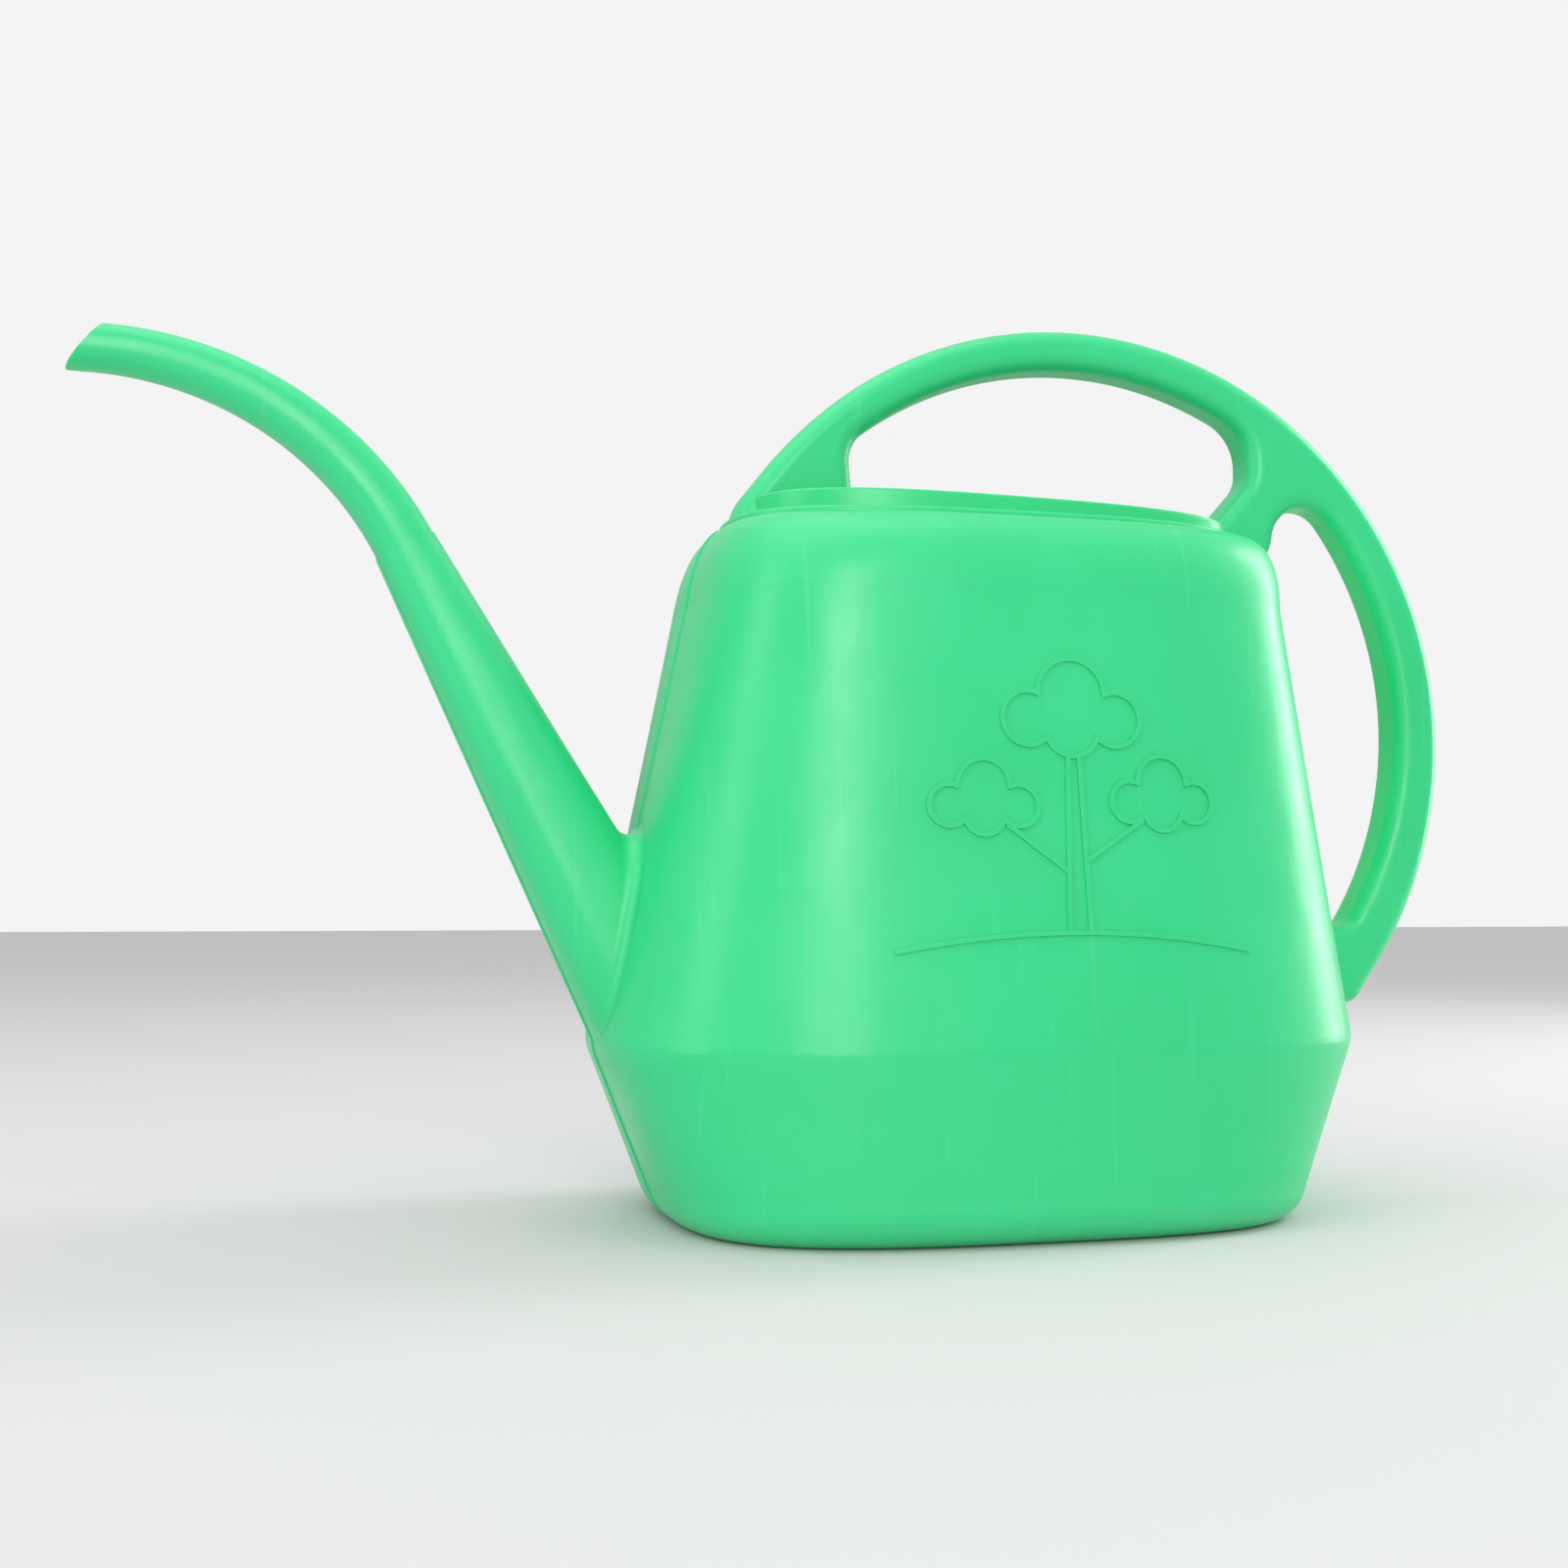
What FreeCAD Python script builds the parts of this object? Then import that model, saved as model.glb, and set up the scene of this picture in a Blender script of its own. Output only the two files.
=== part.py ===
"""A garden watering can, moulded in one piece, written as the zones that make it up.

Millimetres, +Z up. The origin is the middle of the face that the can rests on.
The spout points along -X and the rear grip along +X. The middle plane Y = 0 is the parting plane.
"""
import FreeCAD, Part
import math
import os

Vector = FreeCAD.Vector

# Walls
wall = 1.8
floor_thickness = 2.2
spout_wall = 1.6

# Body outlines, from the bottom up. Each is a rounded oval with a half length, a half width, a
# roundness (2 is an ellipse, more is squarer) and how far it sits towards the rear.
# The ridge is the body's widest line, and the other outlines are drawn in from it.
ridge_height = 50.8
ridge_half_length = 113.0
ridge_half_width = 71.1
ridge_roundness = 2.76
ridge_shift = 0.0
base_end_draw_in = 21.7
base_side_draw_in = 1.1
base_roundness = 3.13
base_shift = -1.1
crease_height = 175.6
crease_end_draw_in = 25.5
crease_side_draw_in = 10.9
crease_roundness = 3.6
crease_shift = 1.7
shoulder_rise = 22.9
shoulder_end_draw_in = 7.7
shoulder_side_draw_in = 15.7
shoulder_top_roundness = 3.2
shoulder_top_shift = 4.4
shoulder_shares = (0.45, 0.8)

# Rounds on the body
base_edge_radius = 11.0
ridge_radius = 12.0

# Collar round the fill opening
step_height = 3.0
step_end_inset = 0.3
step_side_inset = 6.0
step_back = 0.6
step_width = 7.5
step_round = 1.1
lip_height = 5.0
lip_end_inset = 4.9
lip_side_inset = 4.5
lip_back = 2.4
lip_tilt_degrees = 1.1
lip_round = 0.8
collar_roundness = 2.7
deck_thickness = 2.0
opening_front_land = 33.9
opening_rear_land = 3.7
opening_side_land = 5.2

# Spout: a straight taper, then a bend that ends level
spout_lean_degrees = 28.4
spout_foot_inset = 20.9
spout_foot_rise = 2.1
spout_foot_depth = 5.0
spout_straight = 155.9
spout_bend_radius = 95.75
spout_end_straight = 8.0
spout_foot_half_depth = 19.0
spout_neck_half_depth = 8.5
spout_tip_half_depth = 6.3
spout_foot_half_width = 20.5
spout_neck_half_width = 9.6
spout_tip_half_width = 7.2
spout_foot_roundness = 3.0
spout_neck_roundness = 2.5
spout_tip_roundness = 2.2
spout_root_length = 82.0
spout_tip_length = 18.0
spout_cut_degrees = 38.0
spout_cut_back = 6.8
spout_foot_fillet = 4.0
spout_foot_edge_least = 5.0

# Handle: one flat-sided arch in the parting plane, with a grip over the opening and one behind
handle_front_overhang = 21.15
handle_rear_overhang = 44.15
handle_top_rise = 63.15
handle_thickness = 16.0
handle_round = 5.2
grip_depth = 12.3
rear_grip_depth = 14.15
rear_grip_back = 0.9
rear_grip_lift = 2.4
handle_front_angle = 141.5
front_tangent_length = 16.0
handle_front_round = 15.0
handle_foot_rise = 20.694
handle_foot_length = 14.0
handle_foot_round = 6.0
web_corner_inset = 2.0
web_corner_drop = 1.0

# Finger loop over the opening
loop_front_gap = 29.2
loop_front_lean = 4.0
strut_front_overhang = 7.6
strut_knee_rise = 20.0
strut_front_lean = 15.0
strut_front_foot_rise = 3.0
loop_front_round = 11.0
loop_rear_round = 15.0
loop_knee_round = 10.0

# Finger loop behind the can
strut_rear_overhang = 16.7
strut_bend_shift = 0.5
strut_bend_rise = 3.5
strut_rear_lean = 14.0
strut_rear_foot_drop = 22.0
strut_bend_round = 12.0
rear_loop_floor_rise = 32.7
rear_loop_top_round = 11.0
rear_loop_bottom_round = 5.0

# How far inside the can the hidden corners of the handle's plates lie, before the can is cut away
hidden_front_inset = 25.0
hidden_rear_inset = 40.0
hidden_drop = 30.0
hidden_foot_drop = 8.0
hidden_loop_drop = 20.0
hidden_loop_inset = 58.6

# Where the moulding is divided into its named zones
base_zone_height = 13.0
front_web_angle = 128.0
junction_angle = 57.0
rear_grip_angle = 31.0
rear_foot_spread = 6.0
end_zone_spread = 90.0
strut_split_inset = 25.75
spout_middle_x = -60.0
seam_foot_height = 3.0

# Raised detail
tree_x = 7.0
tree_foot_height = 83.0
tree_height = 76.0
relief_height = 0.6
relief_line = 1.3
crown_lobes = ((0.0, 0.25, 0.62), (-0.75, -0.15, 0.48), (0.75, -0.15, 0.48), (0.0, -0.3, 0.5),
               (-0.3, -0.05, 0.45), (0.3, -0.05, 0.45))
top_crown = (0.0, 0.78, 0.22)
left_crown = (-0.34, 0.46, 0.17)
right_crown = (0.34, 0.48, 0.17)
trunk_foot_half_width = 3.0
trunk_top_half_width = 1.6
trunk_top_share = 0.62
bough_start_half_width = 2.3
left_bough = (0.20, -0.26, 0.37)
right_bough = (0.24, 0.26, 0.39)
mound_half_length_share = 0.68
mound_rise = 5.0
seam_height = 0.5
seam_width = 1.2

# How the model is drawn
outline_count = 32
bend_sections = 5
beyond = 400.0
round_share = 0.45
edge_tolerance = 0.05
corner_tolerance = 0.1

os.makedirs("parts", exist_ok=True)

base_half_length = ridge_half_length - base_end_draw_in
base_half_width = ridge_half_width - base_side_draw_in
crease_half_length = ridge_half_length - crease_end_draw_in
crease_half_width = ridge_half_width - crease_side_draw_in
shoulder_top_half_length = crease_half_length - shoulder_end_draw_in
shoulder_top_half_width = crease_half_width - shoulder_side_draw_in
shoulder_top = crease_height + shoulder_rise
step_top = shoulder_top + step_height


class Outline:
    """A level rounded oval of the body at one height."""

    def __init__(self, height, half_length, half_width, roundness, shift):
        self.height = height
        self.half_length = half_length
        self.half_width = half_width
        self.roundness = roundness
        self.shift = shift

    def inset(self, amount, height=None):
        """The same outline drawn in by an amount, and at another height if one is given."""
        return Outline(self.height if height is None else height, self.half_length - amount,
                       self.half_width - amount, self.roundness, self.shift)

    def wire(self):
        centre = Vector(self.shift, 0, self.height)
        return oval_wire(centre, Vector(1, 0, 0), self.half_length, self.half_width, self.roundness)

    def front(self):
        return self.shift - self.half_length

    def rear(self):
        return self.shift + self.half_length


def oval_wire(centre, across, half_across, half_wide, roundness):
    """A closed smooth rounded oval round a centre, deep along one direction and wide along Y, in quarters."""
    quarter_points = outline_count // 4
    sideways = Vector(0, half_wide * math.pi / 2, 0)
    endways = across * (half_across * math.pi / 2)
    tangents = (sideways, endways * -1, sideways * -1, endways, sideways)
    edges = []
    for quarter in range(4):
        points = []
        for step in range(quarter_points + 1):
            turn = math.pi / 2 * (quarter + step / quarter_points)
            c = math.cos(turn)
            s = math.sin(turn)
            reach = (abs(c) ** roundness + abs(s) ** roundness) ** (-1 / roundness)
            points.append(centre + across * (half_across * reach * c) + Vector(0, half_wide * reach * s, 0))
        curve = Part.BSplineCurve()
        shares = [step / quarter_points for step in range(quarter_points + 1)]
        curve.interpolate(Points=points, Parameters=shares, InitialTangent=tangents[quarter],
                          FinalTangent=tangents[quarter + 1], Scale=False)
        edges.append(curve.toShape())
    return Part.Wire(edges)


def between(low, high, height):
    """The outline at a height on the straight wall between two outlines."""
    share = (height - low.height) / (high.height - low.height)
    mix = [getattr(low, name) + share * (getattr(high, name) - getattr(low, name))
           for name in ("half_length", "half_width", "roundness", "shift")]
    return Outline(height, *mix)


def loft(outlines):
    return Part.makeLoft([outline.wire() for outline in outlines], True, False)


def slab(low, high):
    """Everything between two heights."""
    box = Part.makeBox(2 * beyond, 2 * beyond, high - low)
    box.translate(Vector(-beyond, -beyond, low))
    return box


def level_edges(solid, height):
    """The edges that lie at one height."""
    found = []
    for edge in solid.Edges:
        box = edge.BoundBox
        if abs(box.ZMin - height) < edge_tolerance and abs(box.ZMax - height) < edge_tolerance:
            found.append(edge)
    return found


base = Outline(0.0, base_half_length, base_half_width, base_roundness, base_shift)
ridge = Outline(ridge_height, ridge_half_length, ridge_half_width, ridge_roundness, ridge_shift)
crease = Outline(crease_height, crease_half_length, crease_half_width, crease_roundness, crease_shift)
shoulder_end = Outline(shoulder_top, shoulder_top_half_length, shoulder_top_half_width,
                       shoulder_top_roundness, shoulder_top_shift)


def shoulder_outlines():
    """The shoulder leans in ever faster, as a quarter of an ellipse does, on its way to the collar."""
    found = [crease]
    for share in shoulder_shares:
        lean = 1 - math.sqrt(1 - share ** 2)
        mix = between(crease, shoulder_end, crease_height + shoulder_rise * share)
        mix.half_length = crease_half_length + lean * (shoulder_top_half_length - crease_half_length)
        mix.half_width = crease_half_width + lean * (shoulder_top_half_width - crease_half_width)
        found.append(mix)
    return found + [shoulder_end]


def body_block(inset):
    """The body as a solid block, drawn in by an inset on every side."""
    floor = floor_thickness if inset > 0 else 0.0
    top = shoulder_top - inset
    low = between(base, ridge, floor).inset(inset)
    shoulder = [outline.inset(inset) for outline in shoulder_outlines()]
    shoulder[-1].height = top
    block = loft([low, ridge.inset(inset)]).fuse(loft([ridge.inset(inset), shoulder[0]]))
    block = block.fuse(loft(shoulder)).removeSplitter()
    block = block.makeFillet(base_edge_radius - inset, level_edges(block, floor))
    return block.makeFillet(ridge_radius - inset, level_edges(block, ridge_height))


def ring_prism(outline, low, high):
    """A straight-sided block of one outline between two heights."""
    return loft([outline.inset(0.0, low), outline.inset(0.0, high)])


step_outline = Outline(shoulder_top, shoulder_top_half_length - step_end_inset,
                       shoulder_top_half_width - step_side_inset, collar_roundness,
                       shoulder_top_shift + step_back)
lip_outline = Outline(step_top, step_outline.half_length - lip_end_inset,
                      step_outline.half_width - lip_side_inset, collar_roundness,
                      step_outline.shift + lip_back)
lip_bore = lip_outline.inset(wall)
opening_outline = Outline(step_top, lip_bore.half_length - (opening_front_land + opening_rear_land) / 2,
                          lip_bore.half_width - opening_side_land, collar_roundness,
                          lip_bore.shift + (opening_front_land - opening_rear_land) / 2)
mouth_outline = step_outline.inset(step_width)

# The handle's arch reaches from ahead of the lip to behind the ridge
handle_front = lip_outline.front() - handle_front_overhang
handle_rear = ridge.rear() + handle_rear_overhang
handle_radius = (handle_rear - handle_front) / 2
handle_centre_x = (handle_rear + handle_front) / 2
handle_centre_z = step_top + handle_top_rise - handle_radius
handle_foot_drop = handle_centre_z - ridge_height - handle_foot_rise
handle_foot_angle = -math.degrees(math.asin(handle_foot_drop / handle_radius))
rear_grip_radius = handle_radius - rear_grip_depth
rear_foot_angle = handle_foot_angle + rear_foot_spread
strut_split_radius = handle_radius - strut_split_inset


def collar_step():
    """The low step that the fill lip stands on."""
    outer = ring_prism(step_outline, shoulder_top, step_top)
    outer = outer.makeFillet(step_round, level_edges(outer, step_top))
    return outer.cut(ring_prism(mouth_outline, shoulder_top - wall, step_top + wall))


def fill_deck():
    """The plate inside the step, with the opening that water is poured into."""
    plate = ring_prism(mouth_outline, step_top - deck_thickness, step_top)
    return plate.cut(ring_prism(opening_outline, shoulder_top - wall, step_top + wall))


def lip_top_plane():
    """The large block above the fill lip, which is a little higher towards the spout."""
    tilt = math.radians(lip_tilt_degrees)
    middle = Vector(lip_outline.shift, 0, step_top + lip_height)
    return half_space(middle, Vector(math.sin(tilt), 0, math.cos(tilt)))


def fill_lip():
    """The upright rim round the opening, cut off on a slight slope with its edges rounded."""
    ring = ring_prism(lip_outline, step_top, step_top + 2 * lip_height)
    ring = ring.cut(ring_prism(lip_bore, step_top, step_top + 2 * lip_height))
    ring = ring.cut(lip_top_plane())
    top_edges = [edge for edge in ring.Edges if edge.BoundBox.ZMin > step_top + lip_height / 2]
    return ring.makeFillet(min(lip_round, round_share * wall), top_edges)


def spout_frame(run):
    """Centre, across direction and half depths of the spout at a distance along its spine."""
    lean = math.radians(spout_lean_degrees)
    foot = Vector(ridge.front() + spout_foot_inset, 0, ridge_height + spout_foot_rise)
    ahead = Vector(-math.sin(lean), 0, math.cos(lean))
    bend_length = spout_bend_radius * (math.pi / 2 - lean)
    if run <= spout_straight:
        centre = foot + ahead * run
    else:
        turn = min(run - spout_straight, bend_length) / spout_bend_radius
        over = max(0.0, run - spout_straight - bend_length)
        left = Vector(-math.cos(lean), 0, -math.sin(lean))
        pivot = foot + ahead * spout_straight + left * spout_bend_radius
        centre = pivot - left * (spout_bend_radius * math.cos(turn))
        centre = centre + ahead * (spout_bend_radius * math.sin(turn)) + Vector(-over, 0, 0)
        lean = lean + turn
    return centre, Vector(math.cos(lean), 0, math.sin(lean))


spout_bend_length = spout_bend_radius * (math.pi / 2 - math.radians(spout_lean_degrees))
spout_length = spout_straight + spout_bend_length + spout_end_straight


def spout_section(run, inset):
    """The spout's rounded oval at a distance along its spine."""
    if run <= spout_straight:
        share = run / spout_straight
        start = (spout_foot_half_depth, spout_foot_half_width, spout_foot_roundness)
        end = (spout_neck_half_depth, spout_neck_half_width, spout_neck_roundness)
    else:
        share = (run - spout_straight) / (spout_length - spout_straight)
        start = (spout_neck_half_depth, spout_neck_half_width, spout_neck_roundness)
        end = (spout_tip_half_depth, spout_tip_half_width, spout_tip_roundness)
    depth, width, roundness = [a + share * (b - a) for a, b in zip(start, end)]
    centre, across = spout_frame(run)
    return oval_wire(centre, across, depth - inset, width - inset, roundness)


def spout_block(inset):
    """The spout as a solid: a straight taper and a bend, with a level end."""
    straight = Part.makeLoft([spout_section(run, inset) for run in (-spout_foot_depth, spout_straight)], True)
    step = (spout_length - spout_end_straight - spout_straight) / bend_sections
    runs = [spout_straight + step * k for k in range(bend_sections + 1)]
    bend = Part.makeLoft([spout_section(run, inset) for run in runs], True)
    end = Part.makeLoft([spout_section(run, inset) for run in (runs[-1], spout_length)], True)
    return [straight, bend, end]


def spout_foot_edges(fused):
    """The edges where the spout meets the body's front."""
    root_top = spout_frame(spout_root_length)[0].z
    found = []
    for edge in fused.Edges:
        box = edge.BoundBox
        on_front = box.XMax < crease.front() and box.ZMin > ridge_height / 2 and box.ZMax < root_top
        if on_front and spout_foot_edge_least < box.YLength < 2 * spout_foot_half_width:
            found.append(edge)
    return found


def half_space(point, direction):
    """A very large block on the side of a plane that a direction in the middle plane points to."""
    box = Part.makeBox(2 * beyond, 2 * beyond, 2 * beyond)
    box.translate(Vector(-beyond, -beyond, 0))
    turned = FreeCAD.Placement(point, FreeCAD.Rotation(Vector(0, 0, 1), direction))
    box.Placement = turned.multiply(box.Placement)
    return box


def handle_point(angle, radius):
    """A point of the handle's middle plane, by angle above the horizontal from the arch's centre."""
    turn = math.radians(angle)
    return Vector(handle_centre_x + radius * math.cos(turn), 0, handle_centre_z + radius * math.sin(turn))


def line(start, end):
    return Part.LineSegment(start, end).toShape()


def rounded(shape, where):
    """Rounds the upright corners of a flat plate: where lists a corner and its radius."""
    for corner, radius in where:
        edges = [edge for edge in shape.Edges
                 if edge.BoundBox.YLength > handle_thickness / 2
                 and abs(edge.BoundBox.XMin - corner.x) < corner_tolerance
                 and abs(edge.BoundBox.ZMin - corner.z) < corner_tolerance]
        shape = shape.makeFillet(radius, edges)
    return shape


def plate(edges, half_thickness):
    """A flat plate in the middle plane from a closed run of edges."""
    face = Part.Face(Part.Wire(edges))
    face.translate(Vector(0, -half_thickness, 0))
    return face.extrude(Vector(0, 2 * half_thickness, 0))


def arch_plate(half_thickness):
    """The handle's outline as a plate, before its finger loops are cut. Its inner side is in the can."""
    front = handle_point(handle_front_angle, handle_radius)
    top = handle_point(90.0, handle_radius)
    rear = handle_point(handle_foot_angle, handle_radius)
    down = math.radians(handle_foot_angle)
    foot = rear + Vector(math.sin(down), 0, -math.cos(down)) * handle_foot_length
    shoulder_front = Vector(shoulder_end.front() + web_corner_inset, 0, shoulder_top - web_corner_drop)
    turn = math.radians(handle_front_angle)
    collar_front = front + Vector(-math.sin(turn), 0, math.cos(turn)) * front_tangent_length
    inside_front = Vector(shoulder_end.front() + hidden_front_inset, 0, shoulder_top - hidden_drop)
    inside_rear = Vector(ridge.rear() - hidden_rear_inset, 0, ridge_height - hidden_foot_drop)
    edges = [Part.Arc(front, top, rear).toShape(), line(rear, foot), line(foot, inside_rear),
             line(inside_rear, inside_front), line(inside_front, shoulder_front),
             line(shoulder_front, collar_front), line(collar_front, front)]
    rounds = [(foot, handle_foot_round), (collar_front, handle_front_round)]
    return rounded(plate(edges, half_thickness), rounds)


def circle_height(x, centre, radius):
    """How high a circle of the middle plane is at a place along X."""
    return centre.z + math.sqrt(radius ** 2 - (x - centre.x) ** 2)


def top_loop(half_thickness):
    """The finger loop over the opening: it is open downwards into the can."""
    centre = Vector(handle_centre_x, 0, handle_centre_z)
    radius = handle_radius - grip_depth
    front_x = lip_outline.front() + loop_front_gap
    rear_x = shoulder_end.rear() + strut_front_overhang
    front_top = Vector(front_x, 0, circle_height(front_x, centre, radius))
    rear_top = Vector(rear_x, 0, circle_height(rear_x, centre, radius))
    hidden_z = shoulder_top - hidden_loop_drop
    front_foot = Vector(front_x + loop_front_lean, 0, hidden_z)
    knee = Vector(rear_x, 0, step_top + strut_knee_rise)
    rear_foot = Vector(rear_x - strut_front_lean, 0, step_top + strut_front_foot_rise)
    rear_base = Vector(rear_foot.x, 0, hidden_z)
    edges = [Part.Arc(front_top, handle_point(90.0, radius), rear_top).toShape(), line(rear_top, knee),
             line(knee, rear_foot), line(rear_foot, rear_base), line(rear_base, front_foot),
             line(front_foot, front_top)]
    rounds = [(front_top, loop_front_round), (rear_top, loop_rear_round), (knee, loop_knee_round)]
    return rounded(plate(edges, half_thickness), rounds)


def rear_loop(half_thickness):
    """The finger loop behind the can: the body's rear wall is its front side."""
    centre = Vector(handle_centre_x - rear_grip_back, 0, handle_centre_z + rear_grip_lift)
    strut_x = shoulder_end.rear() + strut_rear_overhang
    hidden_x = ridge.rear() - hidden_loop_inset
    floor_z = ridge_height + rear_loop_floor_rise
    strut_top = Vector(strut_x, 0, circle_height(strut_x, centre, rear_grip_radius))
    floor_x = centre.x + math.sqrt(rear_grip_radius ** 2 - (floor_z - centre.z) ** 2)
    floor_rear = Vector(floor_x, 0, floor_z)
    floor_front = Vector(hidden_x, 0, floor_z)
    strut_bend = Vector(strut_x - strut_bend_shift, 0, shoulder_top + strut_bend_rise)
    strut_foot = Vector(strut_x - strut_rear_lean, 0, shoulder_top - strut_rear_foot_drop)
    inside = Vector(hidden_x, 0, shoulder_top - hidden_drop)
    middle = Vector(centre.x + rear_grip_radius, 0, centre.z)
    edges = [Part.Arc(strut_top, middle, floor_rear).toShape(), line(floor_rear, floor_front),
             line(floor_front, inside), line(inside, strut_foot), line(strut_foot, strut_bend),
             line(strut_bend, strut_top)]
    rounds = [(strut_top, rear_loop_top_round), (strut_bend, strut_bend_round),
              (floor_rear, rear_loop_bottom_round)]
    return rounded(plate(edges, half_thickness), rounds)


def handle_block(can):
    """The whole handle with both loops, the edges outside the can well rounded for the hand."""
    half = handle_thickness / 2
    block = arch_plate(half).cut(top_loop(half + 1)).cut(rear_loop(half + 1))
    grip_edges = []
    for edge in block.Edges:
        middle = edge.valueAt((edge.FirstParameter + edge.LastParameter) / 2)
        upright = edge.BoundBox.YLength < edge_tolerance
        if upright and not can.isInside(Vector(middle.x, 0, middle.z), corner_tolerance, True):
            grip_edges.append(edge)
    return block.makeFillet(min(handle_round, round_share * grip_depth), grip_edges)


def wedge(low_angle, high_angle):
    """Everything between two angles round the centre of the arch."""
    centre = handle_point(0.0, 0.0)
    low = math.radians(low_angle)
    high = math.radians(high_angle)
    above = half_space(centre, Vector(-math.sin(low), 0, math.cos(low)))
    return above.common(half_space(centre, Vector(math.sin(high), 0, -math.cos(high))))


def spout_cut(run):
    """The large block beyond a square cut across the spout."""
    centre, across = spout_frame(run)
    return half_space(centre, Vector(-across.z, 0, across.x))


def slab_across(half_width):
    """A thin upright sheet in the middle plane."""
    box = Part.makeBox(2 * beyond, 2 * half_width, 2 * beyond)
    box.translate(Vector(-beyond, -half_width, -beyond))
    return box


def slab_near():
    """Everything on the near side of the middle plane."""
    box = Part.makeBox(2 * beyond, beyond, 2 * beyond)
    box.translate(Vector(-beyond, -beyond, -beyond))
    return box


def disc(x, z, radius):
    """A round bar across the can's near wall."""
    start = Vector(x, -2 * ridge_half_width, z)
    return Part.makeCylinder(radius, 2 * ridge_half_width, start, Vector(0, 1, 0))


def crown(place):
    """The outline of one rounded clump of leaves, placed and sized as shares of the tree's height."""
    across_share, up_share, size_share = place
    size = size_share * tree_height
    outer = []
    inner = []
    for across, up, radius in crown_lobes:
        x = tree_x + across_share * tree_height + across * size
        z = tree_foot_height + up_share * tree_height + up * size
        outer.append(disc(x, z, radius * size))
        inner.append(disc(x, z, radius * size - relief_line))
    return outer[0].multiFuse(outer[1:]).cut(inner[0].multiFuse(inner[1:]))


def strip(start, end):
    """A straight raised line between two places on the near wall, given as (x, z)."""
    run = Vector(end[0] - start[0], 0, end[1] - start[1])
    box = Part.makeBox(run.Length, 2 * ridge_half_width, relief_line)
    box.translate(Vector(0, 0, -relief_line / 2))
    box.rotate(Vector(0, 0, 0), Vector(0, 1, 0), -math.degrees(math.atan2(run.z, run.x)))
    box.translate(Vector(start[0], -2 * ridge_half_width, start[1]))
    return box


def mound():
    """The low arched line of ground that the tree stands on."""
    half_length = mound_half_length_share * tree_height
    radius = (half_length ** 2 + mound_rise ** 2) / (2 * mound_rise)
    centre = Vector(tree_x, -2 * ridge_half_width, tree_foot_height - radius)
    spread = math.asin(half_length / radius)
    arcs = []
    for reach in (radius, radius - relief_line):
        turns = (-spread, 0, spread)
        arcs.append([centre + Vector(reach * math.sin(turn), 0, reach * math.cos(turn)) for turn in turns])
    upper, lower = arcs
    edges = [Part.Arc(*upper).toShape(), line(upper[2], lower[2]), Part.Arc(*lower).toShape(),
             line(lower[0], upper[0])]
    return Part.Face(Part.Wire(Part.__sortEdges__(edges))).extrude(Vector(0, 2 * ridge_half_width, 0))


def bough(side, place):
    """A bough from one side of the trunk out to a crown."""
    start_share, end_across, end_up = place
    start = (tree_x + side * bough_start_half_width, tree_foot_height + start_share * tree_height)
    return strip(start, (tree_x + end_across * tree_height, tree_foot_height + end_up * tree_height))


def trunk_side(side):
    """One edge of the trunk, which narrows on its way up."""
    top_z = tree_foot_height + trunk_top_share * tree_height
    return strip((tree_x + side * trunk_foot_half_width, tree_foot_height),
                 (tree_x + side * trunk_top_half_width, top_z))


def tree_lines():
    """A plain tree on a mound: a trunk with two boughs and three clumps of leaves, none on top of another."""
    bars = [mound(), crown(top_crown), crown(left_crown), crown(right_crown), trunk_side(-1), trunk_side(1),
            bough(-1, left_bough), bough(1, right_bough)]
    apart = [bars[0]]
    for bar in bars[1:]:
        apart.append(bar.cut(apart))
    return apart


def raised_tree(outer):
    """The tree's lines where they stand out of the near wall."""
    skin = loft([ridge.inset(-relief_height), crease.inset(-relief_height)]).cut(outer).common(slab_near())
    pieces = []
    for bar in tree_lines():
        pieces.extend(skin.common(bar).Solids)
    return Part.makeCompound(pieces)


def parting_seam(outer, spout, others):
    """The fine raised line that the two halves of the mould leave down the front and under the spout."""
    rib = body_block(-seam_height).cut(outer)
    straight = spout_block(-seam_height)[0]
    rib = rib.fuse(straight).cut(spout)
    front = half_space(Vector(spout_middle_x, 0, 0), Vector(-1, 0, 0))
    rib = rib.common(slab_across(seam_width / 2)).common(front).common(slab(seam_foot_height, shoulder_top))
    for other in others:
        rib = rib.cut(other)
    return rib


def save(name, shape):
    """Writes one named piece, and stops if it isn't one or more closed solids."""
    solids = shape.Solids
    if not solids or not all(solid.isValid() for solid in solids):
        raise RuntimeError(name + " is not a valid solid")
    piece = solids[0] if len(solids) == 1 else Part.makeCompound(solids)
    piece.exportStep(os.path.join("parts", name + ".step"))
    print(name, len(solids), "solids", round(sum(solid.Volume for solid in solids)), "mm3")


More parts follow.
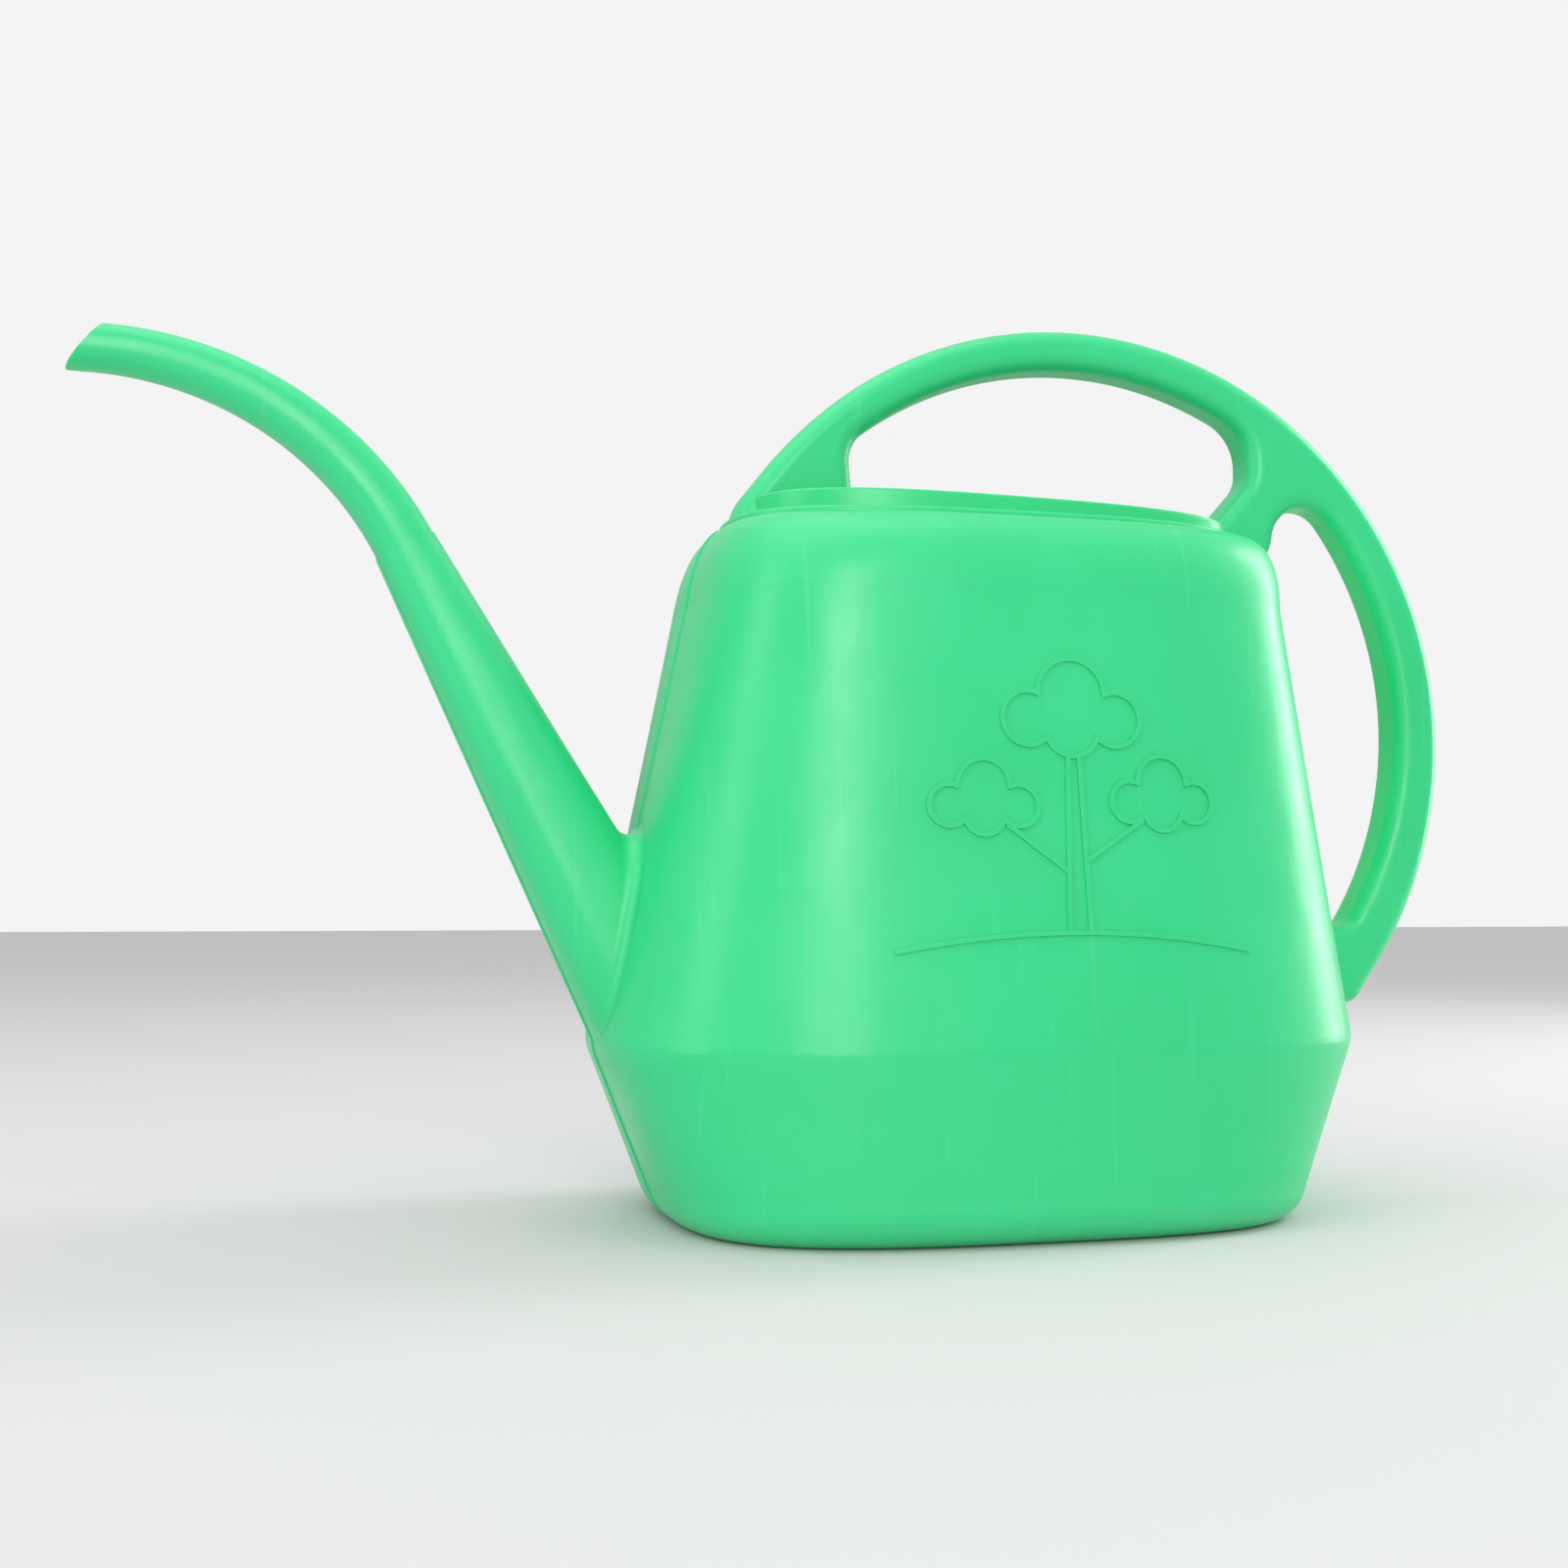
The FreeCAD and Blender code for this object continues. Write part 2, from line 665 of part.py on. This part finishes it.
def main():
    outer = body_block(0.0)
    straight, bend, end = spout_block(0.0)
    straight_bore, bend_bore, end_bore = spout_block(spout_wall)

    fused = outer.fuse(straight)
    filleted = fused.makeFillet(spout_foot_fillet, spout_foot_edges(fused))
    spout = filleted.cut(outer).cut(straight_bore)

    shell = outer.cut(body_block(wall)).cut(straight_bore)
    shell = shell.cut(ring_prism(mouth_outline, shoulder_top - 2 * wall, shoulder_top + wall))
    save("base_floor", shell.common(slab(0.0, base_zone_height)))
    save("lower_wall", shell.common(slab(base_zone_height, ridge_height)))
    save("upper_wall", shell.common(slab(ridge_height, crease_height)))
    save("shoulder", shell.common(slab(crease_height, shoulder_top)))

    save("collar_step", collar_step())
    save("fill_deck", fill_deck())
    lip = fill_lip()
    save("fill_lip", lip)

    root_cut = spout_cut(spout_root_length)
    save("spout_root", spout.cut(root_cut))
    save("spout_tube", spout.common(root_cut))
    tip_cut = spout_cut(spout_length - spout_tip_length)
    hollow_bend = bend.cut(bend_bore)
    save("spout_gooseneck", hollow_bend.cut(tip_cut))
    mouth_point = spout_frame(spout_length - spout_cut_back)[0]
    slope = math.radians(spout_cut_degrees)
    beyond_mouth = half_space(mouth_point, Vector(-math.cos(slope), 0, math.sin(slope)))
    tip = hollow_bend.common(tip_cut).fuse(end.cut(end_bore)).removeSplitter()
    save("spout_tip", tip.cut(beyond_mouth))

    step_block = ring_prism(step_outline, shoulder_top, step_top)
    handle = handle_block(outer).cut(outer).cut(step_block).cut(lip)
    hub = Part.makeCylinder(strut_split_radius, 2 * handle_thickness,
                            handle_point(0.0, 0.0) - Vector(0, handle_thickness, 0), Vector(0, 1, 0))
    save("front_web", handle.common(wedge(front_web_angle, front_web_angle + end_zone_spread)))
    save("top_grip", handle.common(wedge(junction_angle, front_web_angle)))
    junction = handle.common(wedge(rear_grip_angle, junction_angle))
    save("handle_junction", junction.cut(hub))
    save("handle_strut", junction.common(hub))
    save("rear_grip", handle.common(wedge(rear_foot_angle, rear_grip_angle)))
    save("rear_foot", handle.common(wedge(rear_foot_angle - end_zone_spread, rear_foot_angle)))

    save("raised_tree", raised_tree(outer))
    save("parting_seam", parting_seam(outer, fused, [handle, filleted]))


main()
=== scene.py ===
"""The looks of a garden watering can moulded in one piece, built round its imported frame. Metres, +Z up."""
import math
from collections import namedtuple

import bpy
import bmesh
from bpy.props import FloatProperty, FloatVectorProperty, PointerProperty, StringProperty
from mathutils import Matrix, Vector


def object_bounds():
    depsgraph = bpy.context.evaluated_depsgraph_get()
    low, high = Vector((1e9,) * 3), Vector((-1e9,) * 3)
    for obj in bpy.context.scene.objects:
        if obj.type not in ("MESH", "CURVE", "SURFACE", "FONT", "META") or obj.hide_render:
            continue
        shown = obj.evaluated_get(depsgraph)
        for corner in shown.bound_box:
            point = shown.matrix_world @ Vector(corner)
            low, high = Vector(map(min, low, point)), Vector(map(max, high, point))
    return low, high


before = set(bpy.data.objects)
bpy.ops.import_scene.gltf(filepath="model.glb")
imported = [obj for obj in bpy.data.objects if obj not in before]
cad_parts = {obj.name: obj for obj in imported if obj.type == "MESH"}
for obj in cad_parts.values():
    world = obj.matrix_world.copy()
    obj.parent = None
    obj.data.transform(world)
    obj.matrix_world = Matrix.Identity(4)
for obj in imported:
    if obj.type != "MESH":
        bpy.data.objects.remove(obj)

bl_info = {
    "name": "Moulded Watering Can",
    "version": (1, 0, 0),
    "blender": (4, 5, 0),
    "location": "3D View > Sidebar > Watering Can",
    "description": "Finishes a one-piece moulded garden watering can and its studio stage",
    "category": "Object",
}

CAD_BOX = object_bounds()
MM = 0.001

# Sizes of the patterns in the moulded skin, chosen for how such a skin looks.
DRIFT_LENGTH = 60 * MM
FLOW_WIDTH, FLOW_DEPTH, FLOW_LENGTH = 2.2 * MM, 30 * MM, 70 * MM
FLOW_TURN = math.radians(-52)
SCUFF_HEIGHT = 14 * MM
RUB_LENGTH = 4 * MM
GLOSS_PATCH_LENGTH = 25 * MM
RIPPLE_LENGTH, RIPPLE_DEPTH = 18 * MM, 0.8 * MM
GRAIN_DEPTH = 0.05 * MM

# How much of each pattern shows, and the stretch of its noise over which it comes in.
DEEP_SHARE, DRIFT_FROM, DRIFT_TO = 0.5, 0.35, 0.7
FLOW_SHARE, FLOW_FROM, FLOW_TO = 0.16, 0.62, 0.8
SCUFF_SHARE = 0.35
GLOSS_SHARPER, GLOSS_DULLER, GLOSS_FROM, GLOSS_TO = 0.05, 0.07, 0.3, 0.7
RIPPLE_STRENGTH, GRAIN_STRENGTH = 0.25, 0.12

# How waxy the plastic is: the light that soaks in, and how far red, green and blue go.
SOAK_SHARE, SOAK_DEPTH, SOAK_COLOURS = 0.12, 2.5 * MM, (0.4, 1.0, 0.6)
POLYETHYLENE_IOR = 1.51

FLOOR_ROUGHNESS = 0.8
CAMERA_NEAREST = 0.01
SKY_STARTS, SKY_FULL = -0.1, 0.8

# Places and sizes are in metres, and powers in watts. Each one faces the middle of the can.
Softbox = namedtuple("Softbox", "name place width height power")
SOFTBOXES = (
    Softbox("key_softbox", place=(-1.3, -0.5, 0.6), width=0.6, height=1.2, power=4.0),
    Softbox("front_strip", place=(-0.34, -1.5, 0.62), width=0.26, height=0.95, power=8.0),
    Softbox("rim_softbox", place=(1.25, 0.18, 0.45), width=0.4, height=1.2, power=12.0),
    Softbox("top_softbox", place=(-0.3, -0.1, 1.5), width=1.2, height=1.2, power=5.0),
)


def linear(hex_colour):
    """An sRGB hex colour as linear red, green, blue and full alpha."""
    channels = [int(hex_colour[place:place + 2], 16) / 255 for place in (1, 3, 5)]
    return [c / 12.92 if c <= 0.04045 else ((c + 0.055) / 1.055) ** 2.4 for c in channels] + [1.0]


class WateringCanFinish(bpy.types.PropertyGroup):
    """Colours and surface of the moulded plastic."""
    body_hex: StringProperty(
        name="Body colour", description="Main colour of the plastic", default="#30D187")
    deep_hex: StringProperty(
        name="Deep colour", description="Where the wall is a little thicker", default="#27C87C")
    scuff_hex: StringProperty(
        name="Scuff colour", description="Where handling has dulled it", default="#6FE0AA")
    roughness: FloatProperty(
        name="Roughness", description="Gloss of the moulded skin", default=0.34, min=0, max=1)
    grain: FloatProperty(
        name="Grain", description="Size of the mould's blasted grain", default=0.9 * MM, unit="LENGTH")


class WateringCanStage(bpy.types.PropertyGroup):
    """Camera, floor and lights."""
    camera_place: FloatVectorProperty(
        name="Camera place", description="Where the camera stands",
        default=(-0.2017, -0.5501, 0.0901), subtype="TRANSLATION", unit="LENGTH")
    camera_turn: FloatVectorProperty(
        name="Camera turn", description="How the camera is turned",
        default=(math.radians(93.5), 0.0, math.radians(-14.8)), subtype="EULER")
    lens: FloatProperty(
        name="Lens", description="Focal length on a 36 mm sensor, in millimetres", default=44.77)
    floor_hex: StringProperty(
        name="Floor colour", description="Colour of the pale floor", default="#CFCFCF")
    air_hex: StringProperty(
        name="Air colour", description="Colour seen behind the can", default="#F4F4F4")
    side_light: FloatProperty(
        name="Side light", description="Strength of the light from the sides", default=0.55)
    sky_light: FloatProperty(
        name="Sky light", description="Strength of the light from above", default=1.1)
    floor_size: FloatProperty(
        name="Floor size", description="Width of the floor", default=12.0, unit="LENGTH")


def add_node(tree, kind, settings=None, inputs=None):
    """Adds a shader node, gives it its settings, and sets or links its inputs."""
    node = tree.nodes.new(kind)
    for name, value in (settings or {}).items():
        setattr(node, name, value)
    for name, value in (inputs or {}).items():
        if isinstance(value, bpy.types.NodeSocket):
            tree.links.new(value, node.inputs[name])
        else:
            node.inputs[name].default_value = value
    return node


def polyethylene(finish):
    """Blow-moulded polyethylene: a waxy half gloss, light that soaks in a little, and a blasted grain."""
    material = bpy.data.materials.new("blow_moulded_polyethylene")
    material.use_nodes = True
    tree = material.node_tree
    tree.nodes.clear()
    place = add_node(tree, "ShaderNodeTexCoord").outputs["Object"]

    # The wall's thickness drifts over tens of millimetres, and the colour deepens with it.
    drift = add_node(tree, "ShaderNodeTexNoise", inputs={
        "Vector": place, "Scale": 1 / DRIFT_LENGTH, "Detail": 2.0})
    drift_share = add_node(tree, "ShaderNodeMapRange", inputs={
        "Value": drift.outputs["Fac"], "From Min": DRIFT_FROM, "From Max": DRIFT_TO,
        "To Min": 0.0, "To Max": DEEP_SHARE})
    body = add_node(tree, "ShaderNodeMix", {"data_type": "RGBA"}, {
        "Factor": drift_share.outputs["Result"],
        "A": linear(finish.body_hex), "B": linear(finish.deep_hex)})

    # Flow lines: the plastic was drawn down as the mould closed, so they run long and upright. The turn
    # comes after the scaling, so it changes which lines come up and doesn't slant them.
    stretched = add_node(tree, "ShaderNodeMapping", inputs={
        "Vector": place, "Rotation": (0.0, FLOW_TURN, 0.0),
        "Scale": (1 / FLOW_WIDTH, 1 / FLOW_DEPTH, 1 / FLOW_LENGTH)})
    flow = add_node(tree, "ShaderNodeTexNoise", inputs={
        "Vector": stretched.outputs["Vector"], "Scale": 1.0, "Detail": 2.0})
    flow_share = add_node(tree, "ShaderNodeMapRange", inputs={
        "Value": flow.outputs["Fac"], "From Min": FLOW_FROM, "From Max": FLOW_TO,
        "To Min": 0.0, "To Max": FLOW_SHARE})
    marked = add_node(tree, "ShaderNodeMix", {"data_type": "RGBA"}, {
        "Factor": flow_share.outputs["Result"],
        "A": body.outputs["Result"], "B": linear(finish.scuff_hex)})

    # Scuffs gather low down, where the can is set down and dragged.
    height = add_node(tree, "ShaderNodeSeparateXYZ", inputs={"Vector": place})
    low = add_node(tree, "ShaderNodeMapRange", inputs={
        "Value": height.outputs["Z"], "From Min": 0.0, "From Max": SCUFF_HEIGHT,
        "To Min": SCUFF_SHARE, "To Max": 0.0})
    rub = add_node(tree, "ShaderNodeTexNoise", inputs={
        "Vector": place, "Scale": 1 / RUB_LENGTH, "Detail": 5.0})
    scuff = add_node(tree, "ShaderNodeMath", {"operation": "MULTIPLY"})
    tree.links.new(low.outputs["Result"], scuff.inputs[0])
    tree.links.new(rub.outputs["Fac"], scuff.inputs[1])
    coloured = add_node(tree, "ShaderNodeMix", {"data_type": "RGBA"}, {
        "Factor": scuff.outputs["Value"],
        "A": marked.outputs["Result"], "B": linear(finish.scuff_hex)})

    # Patches a little sharper or duller than the rest.
    patches = add_node(tree, "ShaderNodeTexNoise", inputs={
        "Vector": place, "Scale": 1 / GLOSS_PATCH_LENGTH, "Detail": 3.0})
    gloss = add_node(tree, "ShaderNodeMapRange", inputs={
        "Value": patches.outputs["Fac"], "From Min": GLOSS_FROM, "From Max": GLOSS_TO,
        "To Min": finish.roughness - GLOSS_SHARPER, "To Max": finish.roughness + GLOSS_DULLER})

    # The wall sinks slightly as it cools. The grain is drawn coarser than a blasted mould's, so that
    # it shows.
    ripple = add_node(tree, "ShaderNodeTexNoise", inputs={
        "Vector": place, "Scale": 1 / RIPPLE_LENGTH, "Detail": 1.0})
    waves = add_node(tree, "ShaderNodeBump", inputs={
        "Height": ripple.outputs["Fac"], "Strength": RIPPLE_STRENGTH, "Distance": RIPPLE_DEPTH})
    grain = add_node(tree, "ShaderNodeTexNoise", inputs={
        "Vector": place, "Scale": 1 / finish.grain, "Detail": 3.0})
    bump = add_node(tree, "ShaderNodeBump", inputs={
        "Height": grain.outputs["Fac"], "Strength": GRAIN_STRENGTH, "Distance": GRAIN_DEPTH,
        "Normal": waves.outputs["Normal"]})

    shader = add_node(tree, "ShaderNodeBsdfPrincipled", inputs={
        "Base Color": coloured.outputs["Result"], "Roughness": gloss.outputs["Result"],
        "IOR": POLYETHYLENE_IOR, "Subsurface Weight": SOAK_SHARE, "Subsurface Radius": SOAK_COLOURS,
        "Subsurface Scale": SOAK_DEPTH, "Normal": bump.outputs["Normal"]})
    add_node(tree, "ShaderNodeOutputMaterial", inputs={"Surface": shader.outputs["BSDF"]})
    return material


def floor_material(stage):
    """A matt painted studio floor."""
    material = bpy.data.materials.new("painted_studio_floor")
    material.use_nodes = True
    shader = material.node_tree.nodes["Principled BSDF"]
    shader.inputs["Base Color"].default_value = linear(stage.floor_hex)
    shader.inputs["Roughness"].default_value = FLOOR_ROUGHNESS
    return material


def add_softbox(box):
    """Adds one large soft light that faces the middle of the can."""
    low, high = CAD_BOX
    middle = (low + high) / 2
    light = bpy.data.lights.new(box.name, "AREA")
    light.shape = "RECTANGLE"
    light.size = box.width
    light.size_y = box.height
    light.energy = box.power
    lamp = bpy.data.objects.new(box.name, light)
    bpy.context.scene.collection.objects.link(lamp)
    lamp.location = Vector(box.place)
    lamp.rotation_euler = (middle - lamp.location).to_track_quat("-Z", "Y").to_euler()


def studio_air(stage):
    """Pale air behind the can, and light that is strong from above and weaker from the sides."""
    world = bpy.data.worlds.new("studio_air")
    world.use_nodes = True
    tree = world.node_tree
    tree.nodes.clear()
    ray = add_node(tree, "ShaderNodeTexCoord").outputs["Generated"]
    up = add_node(tree, "ShaderNodeSeparateXYZ", inputs={"Vector": ray})
    shade = add_node(tree, "ShaderNodeMapRange", inputs={
        "Value": up.outputs["Z"], "From Min": SKY_STARTS, "From Max": SKY_FULL,
        "To Min": stage.side_light, "To Max": stage.sky_light})
    lit = add_node(tree, "ShaderNodeBackground", inputs={"Strength": shade.outputs["Result"]})
    seen = add_node(tree, "ShaderNodeBackground", inputs={"Color": linear(stage.air_hex), "Strength": 1.0})
    path = add_node(tree, "ShaderNodeLightPath")
    both = add_node(tree, "ShaderNodeMixShader", inputs={"Fac": path.outputs["Is Camera Ray"]})
    tree.links.new(lit.outputs["Background"], both.inputs[1])
    tree.links.new(seen.outputs["Background"], both.inputs[2])
    add_node(tree, "ShaderNodeOutputWorld", inputs={"Surface": both.outputs["Shader"]})
    return world


class WATERINGCAN_OT_finish_moulding(bpy.types.Operator):
    """Gives every zone of the moulding its polyethylene"""
    bl_idname = "wateringcan.finish_moulding"
    bl_label = "Finish Moulding"

    def execute(self, context):
        material = polyethylene(context.scene.watering_can_finish)
        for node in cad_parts.values():
            node.data.materials.clear()
            node.data.materials.append(material)
        return {"FINISHED"}


class WATERINGCAN_OT_build_stage(bpy.types.Operator):
    """Adds the camera, the pale floor and the soft lights"""
    bl_idname = "wateringcan.build_stage"
    bl_label = "Build Stage"

    def execute(self, context):
        stage = context.scene.watering_can_stage
        mesh = bpy.data.meshes.new("studio_floor")
        form = bmesh.new()
        bmesh.ops.create_grid(form, x_segments=1, y_segments=1, size=stage.floor_size / 2)
        form.to_mesh(mesh)
        form.free()
        mesh.materials.append(floor_material(stage))
        floor = bpy.data.objects.new("studio_floor", mesh)
        context.scene.collection.objects.link(floor)

        camera = bpy.data.cameras.new("studio_camera")
        camera.lens = stage.lens
        camera.clip_start = CAMERA_NEAREST
        viewer = bpy.data.objects.new("studio_camera", camera)
        viewer.location = stage.camera_place
        viewer.rotation_euler = stage.camera_turn
        context.scene.collection.objects.link(viewer)
        context.scene.camera = viewer

        for box in SOFTBOXES:
            add_softbox(box)
        context.scene.world = studio_air(stage)
        context.scene.view_settings.view_transform = "Standard"
        return {"FINISHED"}


class WATERINGCAN_PT_panel(bpy.types.Panel):
    """Lists the steps that make the can"""
    bl_label = "Watering Can"
    bl_space_type = "VIEW_3D"
    bl_region_type = "UI"
    bl_category = "Watering Can"

    def draw(self, context):
        for name in STEPS:
            self.layout.operator("wateringcan." + name)
        for group in (context.scene.watering_can_finish, context.scene.watering_can_stage):
            for name in group.__annotations__:
                self.layout.prop(group, name)


STEPS = ("finish_moulding", "build_stage")
CLASSES = (WateringCanFinish, WateringCanStage, WATERINGCAN_OT_finish_moulding, WATERINGCAN_OT_build_stage,
           WATERINGCAN_PT_panel)


def register():
    for kind in CLASSES:
        bpy.utils.register_class(kind)
    bpy.types.Scene.watering_can_finish = PointerProperty(type=WateringCanFinish)
    bpy.types.Scene.watering_can_stage = PointerProperty(type=WateringCanStage)


def unregister():
    del bpy.types.Scene.watering_can_stage
    del bpy.types.Scene.watering_can_finish
    for kind in reversed(CLASSES):
        bpy.utils.unregister_class(kind)


def main():
    register()
    for name in STEPS:
        getattr(bpy.ops.wateringcan, name)()


if __name__ == "__main__":
    main()
